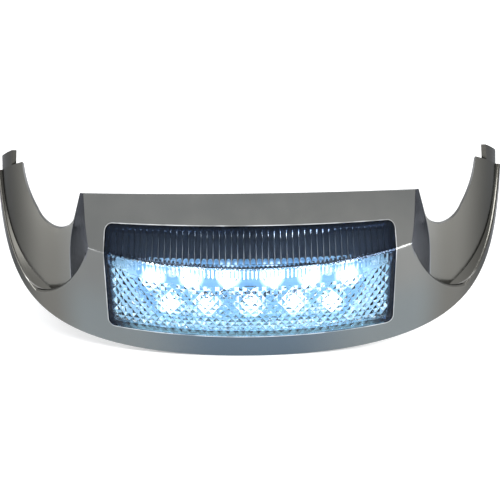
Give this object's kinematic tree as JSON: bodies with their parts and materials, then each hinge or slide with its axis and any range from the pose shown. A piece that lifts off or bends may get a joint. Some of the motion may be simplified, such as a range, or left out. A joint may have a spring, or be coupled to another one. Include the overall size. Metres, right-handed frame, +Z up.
{
  "type": "fender tip light",
  "caption": "Chrome trim that wraps the front tip of a motorcycle fender, with two wings, a wedge-shaped lamp boss and a smoke-tinted lens over white light emitters.",
  "frame": {"origin": "midway between the two mounting studs, on the plane of their seats", "axes": "+X across the fender, +Y to the rear along the studs, +Z up; the lens faces -Y"},
  "size_m": [0.2052, 0.0696, 0.0717],
  "materials": {
    "chrome_plate": "smoky satin plating on a moulded shell",
    "smoke_lens": "smoke-tinted clear moulding, polished outside, fluted and prismatic inside",
    "seal_rubber": "soft black rubber",
    "base_plastic": "black moulded plastic with a fine grain",
    "liner_plastic": "pale moulded sheet that spreads the light",
    "board_mask": "white solder mask over the board",
    "screw_nylon": "white nylon",
    "zinc_steel": "zinc-plated steel",
    "diode_body": "moulded black package",
    "resistor_body": "glazed chip with tinned ends",
    "led_emitter": "white package with a lit window"
  },
  "bodies": {
    "root": {"tip_housing": "chrome_plate", "lens": "smoke_lens", "lens_gasket": "seal_rubber", "base_seal": "seal_rubber", "wire_grommet": "seal_rubber", "lamp_base": "base_plastic", "light_liner": "liner_plastic", "led_board": "board_mask", "board_screws": "screw_nylon", "base_screws": "zinc_steel", "mounting_studs": "zinc_steel", "polarity_diode": "diode_body", "resistor_1": "resistor_body", "resistor_2": "resistor_body", "resistor_3": "resistor_body", "resistor_4": "resistor_body", "led_upper_1": "led_emitter", "led_upper_2": "led_emitter", "led_upper_3": "led_emitter", "led_upper_4": "led_emitter", "led_upper_5": "led_emitter", "led_upper_6": "led_emitter", "led_lower_1": "led_emitter", "led_lower_2": "led_emitter", "led_lower_3": "led_emitter", "led_lower_4": "led_emitter", "led_lower_5": "led_emitter"}
  },
  "joints": []
}
